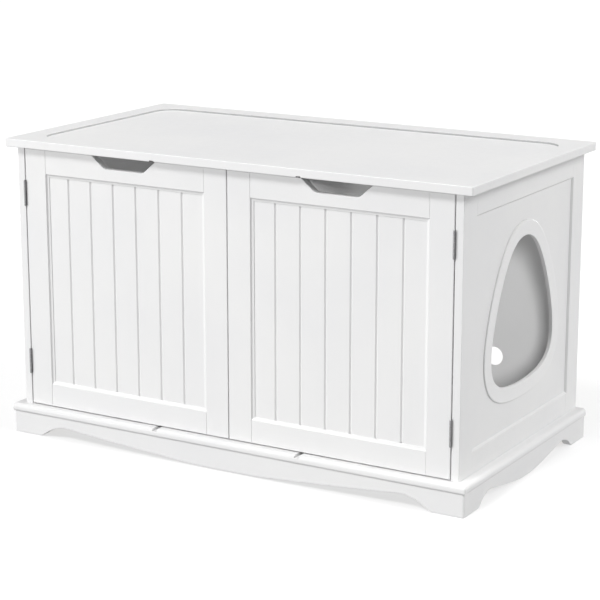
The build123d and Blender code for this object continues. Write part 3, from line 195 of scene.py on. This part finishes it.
def raw_wood():
    """Bare softwood with growth rings and pores."""
    m = Mat("raw_wood")
    bend = m.noise(14.0, 3.0, 0.6)
    mp = m.add("ShaderNodeMapping")
    mp.inputs["Scale"].default_value = (1.0, 1.0, 0.18)
    m.link(m.coord, mp.inputs["Vector"])
    rings = m.add("ShaderNodeTexWave", wave_type="RINGS", rings_direction="Z", wave_profile="SAW")
    rings.inputs["Scale"].default_value = 42.0
    rings.inputs["Distortion"].default_value = 5.0
    rings.inputs["Detail"].default_value = 3.0
    m.link(mp.outputs["Vector"], rings.inputs["Vector"])
    pores = m.noise(700.0, 2.0, 0.6, stretch=(1.0, 1.0, 0.06))
    c = m.mix(m.ramp(rings.outputs["Fac"], 0.1, 0.95, 0.0, 1.0), (0.66, 0.47, 0.28, 1.0), (0.50, 0.32, 0.165, 1.0))
    c = m.mix(m.ramp(bend, 0.3, 0.7, 0.0, 0.35), c, (0.72, 0.55, 0.35, 1.0))
    c = m.mix(m.ramp(pores, 0.55, 0.75, 0.0, 0.5), c, (0.33, 0.2, 0.1, 1.0))
    m.link(c, m.bsdf.inputs["Base Color"])
    m.link(m.ramp(pores, 0.3, 0.8, 0.55, 0.75), m.bsdf.inputs["Roughness"])
    m.link(m.bump(pores, 0.0002, 0.4), m.bsdf.inputs["Normal"])
    return m.mat


def metal(name, base, tint=(0.0, 0.0, 0.0), rough=0.36, stretch=(1.0, 1.0, 12.0), stain=0.25):
    """Plated metal with fine drawn lines and a faint uneven stain."""
    m = Mat(name)
    lines = m.noise(900.0, 2.0, 0.6, stretch=stretch)
    blot = m.noise(60.0, 3.0, 0.6)
    c = m.mix(m.ramp(lines, 0.3, 0.7, 0.0, 1.0), grey(base * 0.88, tint), grey(base * 1.1, tint))
    c = m.mix(m.ramp(blot, 0.4, 0.75, 0.0, stain), c, grey(base * 0.55, tint))
    edge_highlight_and_rub = m.ramp(m.edge(0.0008), 0.4, 0.9, 0.5, 0.0)
    c = m.mix(edge_highlight_and_rub, c, grey(min(0.9, base * 1.6), tint))
    m.link(c, m.bsdf.inputs["Base Color"])
    m.bsdf.inputs["Metallic"].default_value = 1.0
    m.link(m.ramp(blot, 0.3, 0.7, rough - 0.07, rough + 0.1), m.bsdf.inputs["Roughness"])
    m.link(m.bump(lines, 0.00004, 0.35), m.bsdf.inputs["Normal"])
    return m.mat


def magnet():
    m = Mat("magnet")
    grain = m.noise(1500.0, 3.0, 0.7)
    c = m.mix(m.ramp(grain, 0.3, 0.7, 0.0, 1.0), (0.035, 0.035, 0.038, 1.0), (0.075, 0.075, 0.08, 1.0))
    m.link(c, m.bsdf.inputs["Base Color"])
    m.link(m.ramp(grain, 0.3, 0.7, 0.45, 0.65), m.bsdf.inputs["Roughness"])
    m.link(m.bump(grain, 0.00008, 0.5), m.bsdf.inputs["Normal"])
    return m.mat


def plastic():
    m = Mat("catch_plastic")
    grain = m.noise(1100.0, 2.0, 0.5)
    cloud = m.noise(30.0, 2.0, 0.5)
    c = m.mix(m.ramp(cloud, 0.3, 0.7, 0.0, 1.0), (0.62, 0.62, 0.605, 1.0), (0.67, 0.67, 0.66, 1.0))
    # painted shade: greyer where another face stands close
    c = m.mix(m.ramp(m.crease_shade(0.006), 0.3, 0.9, 0.4, 0.0), c, grey(0.25))
    m.link(c, m.bsdf.inputs["Base Color"])
    m.link(m.ramp(grain, 0.3, 0.7, 0.38, 0.5), m.bsdf.inputs["Roughness"])
    m.link(m.bump(grain, 0.00006, 0.4), m.bsdf.inputs["Normal"])
    return m.mat


finish = {
    "painted_board": paint("painted_board"),
    "painted_trim": paint("painted_trim", base=WHITE * 1.015, rough=0.36, peel=0.6, crease_shade=0.08),
    "back_sheet": back_sheet(),
    "raw_wood": raw_wood(),
    "hinge_metal": metal("hinge_metal", 0.26, (0.0, 0.0, 0.004), rough=0.38),
    "screw_metal": metal("screw_metal", 0.42, (0.0, 0.002, 0.008), rough=0.32, stretch=(1.0, 1.0, 1.0)),
    "strike_metal": metal("strike_metal", 0.48, rough=0.3, stretch=(12.0, 1.0, 1.0)),
    "fitting_metal": metal("fitting_metal", 0.45, rough=0.45, stretch=(1.0, 1.0, 1.0), stain=0.4),
    "magnet": magnet(),
    "catch_plastic": plastic(),
}
# painted shade: the tray's low wall, and a little of the top next to it, are painted much greyer where faces stand
# close, in place of shade in the recess
own = {"top_board": paint("painted_top_shaded", crease_shade=1.0, reach=0.014)}
for part in frame["record"]["subparts"]:
    data = nodes[part["node"]].data
    data.materials.clear()
    data.materials.append(own.get(part["node"], finish[part["material_slot"]]))

# ------------------------------------------------------------------ floor
bpy.ops.mesh.primitive_plane_add(size=80.0, location=(0.0, 0.0, -0.0004))
floor = bpy.context.object
floor.name = "studio_floor"
fm = Mat("studio_floor")
fm.link(fm.mix(fm.ramp(fm.noise(1.5, 2.0, 0.5), 0.3, 0.7, 0.0, 1.0), grey(0.395), grey(0.405)), fm.bsdf.inputs["Base Color"])
fm.bsdf.inputs["Roughness"].default_value = 0.9
fm.bsdf.inputs["Specular IOR Level"].default_value = 0.0
# lit from below like a light table, so the ground stays pale under the plinth
fm.bsdf.inputs["Emission Color"].default_value = (1.0, 1.0, 1.0, 1.0)
fm.bsdf.inputs["Emission Strength"].default_value = 0.60
floor.data.materials.append(fm.mat)
# what the ground throws back onto the object is set by the lower half of the surround
floor.visible_diffuse = False

# a far white wall all round, only to look at: it lights nothing and shades nothing
bpy.ops.mesh.primitive_cylinder_add(vertices=96, radius=30.0, depth=40.0, end_fill_type="NOTHING", location=(0.0, 0.0, 19.9))
wall = bpy.context.object
wall.name = "studio_wall"
wm = Mat("studio_wall")
wm.bsdf.inputs["Base Color"].default_value = (0.0, 0.0, 0.0, 1.0)
wm.bsdf.inputs["Specular IOR Level"].default_value = 0.0
wm.bsdf.inputs["Emission Color"].default_value = (1.0, 1.0, 1.0, 1.0)
wm.bsdf.inputs["Emission Strength"].default_value = 1.0
wall.data.materials.append(wm.mat)
wall.visible_diffuse = wall.visible_glossy = wall.visible_transmission = wall.visible_shadow = False

# ------------------------------------------------------------------ light
world = bpy.data.worlds.new("studio")
scene.world = world
world.use_nodes = True
wt = world.node_tree
wt.nodes.clear()
w_out = wt.nodes.new("ShaderNodeOutputWorld")
bg = wt.nodes.new("ShaderNodeBackground")
bg.inputs["Color"].default_value = (1.0, 1.0, 1.0, 1.0)
w_dir = wt.nodes.new("ShaderNodeTexCoord")
w_xyz = wt.nodes.new("ShaderNodeSeparateXYZ")
w_map = wt.nodes.new("ShaderNodeMapRange")
wt.links.new(w_dir.outputs["Generated"], w_xyz.inputs[0])
wt.links.new(w_xyz.outputs[2], w_map.inputs["Value"])
for k, v in (("From Min", -0.02), ("From Max", 0.02), ("To Min", 0.42), ("To Max", 0.14)):
    w_map.inputs[k].default_value = v
wt.links.new(w_map.outputs["Result"], bg.inputs["Strength"])
wt.links.new(bg.outputs["Background"], w_out.inputs["Surface"])


def put_light(name, light, place, aim):
    o = bpy.data.objects.new(name, light)
    scene.collection.objects.link(o)
    o.location = place
    o.rotation_mode = "QUATERNION"
    o.rotation_quaternion = (Vector(aim) - Vector(place)).to_track_quat("-Z", "Y")
    o.visible_camera = False
    return o


def area(name, place, aim, size, power, size_y=None):
    light = bpy.data.lights.new(name, "AREA")
    light.shape = "RECTANGLE"
    light.size = size
    light.size_y = size_y or size
    light.energy = power
    return put_light(name, light, place, aim)


def soft_sun(name, azimuth, elevation, spread, level):
    """A distant soft box; level is what it adds to a white face turned straight at it."""
    light = bpy.data.lights.new(name, "SUN")
    light.angle = math.radians(spread)
    light.energy = level * math.pi
    a, e = math.radians(azimuth), math.radians(elevation)
    place = Vector((math.sin(a) * math.cos(e), -math.cos(a) * math.cos(e), math.sin(e))) * 5.0
    return put_light(name, light, place, (0.0, 0.0, 0.0))


def panel(name, azimuth, distance, height, wide, high, level):
    """An upright soft panel; level is what it adds to a white face turned straight at it."""
    a = math.radians(azimuth)
    place = (math.sin(a) * distance, -math.cos(a) * distance, height)
    return area(name, place, (0.0, 0.0, height), wide, level * math.pi * math.pi * distance * distance, high)


soft_sun("ceiling", 0.0, 90.0, 50.0, 0.245)
soft_sun("front_box", -12.0, 53.0, 20.0, 0.64)
soft_sun("right_box", 100.0, 40.0, 30.0, 0.56)
panel("key", -42.0, 36.0, 0.28, 16.0, 0.5, 0.50)
panel("right_fill", 115.0, 1.8, 0.28, 0.8, 0.5, 0.09)
panel("rear_fill", 180.0, 6.0, 0.28, 3.0, 0.5, 0.30)

# inside: a lamp that shines on the back through the cat entrance, seen by the inner faces only,
# and a faint glow in each compartment
inner = bpy.data.collections.new("inner_faces")
for name in ("back_panel", "divider_panel"):
    inner.objects.link(nodes[name])
entry = soft_sun("entrance_lamp", 30.0, 17.5, 10.0, 0.55)
entry.light_linking.receiver_collection = inner
area("left_glow", (-0.10, 0.0, 0.40), (-0.435, 0.0, 0.40), 0.30, 0.17, 0.20)
area("right_glow", (0.29, -0.14, 0.38), (0.29, 0.25, 0.25), 0.16, 0.19, 0.16)

# ------------------------------------------------------------------ camera
cam_data = bpy.data.cameras.new("photo_camera")
cam = bpy.data.objects.new("photo_camera", cam_data)
scene.collection.objects.link(cam)
cam_data.sensor_width = 36.0
cam_data.lens = 118.4
yaw, pitch = math.radians(30.568), math.radians(13.993)
look = Vector((-math.sin(yaw) * math.cos(pitch), math.cos(yaw) * math.cos(pitch), -math.sin(pitch)))
cam.location = (1.7938, -3.0305, 1.1351)
cam.rotation_mode = "QUATERNION"
cam.rotation_quaternion = look.to_track_quat("-Z", "Y")
cam_data.clip_start, cam_data.clip_end = 0.05, 100.0
scene.camera = cam

scene.view_settings.view_transform = "Standard"
scene.view_settings.look = "None"
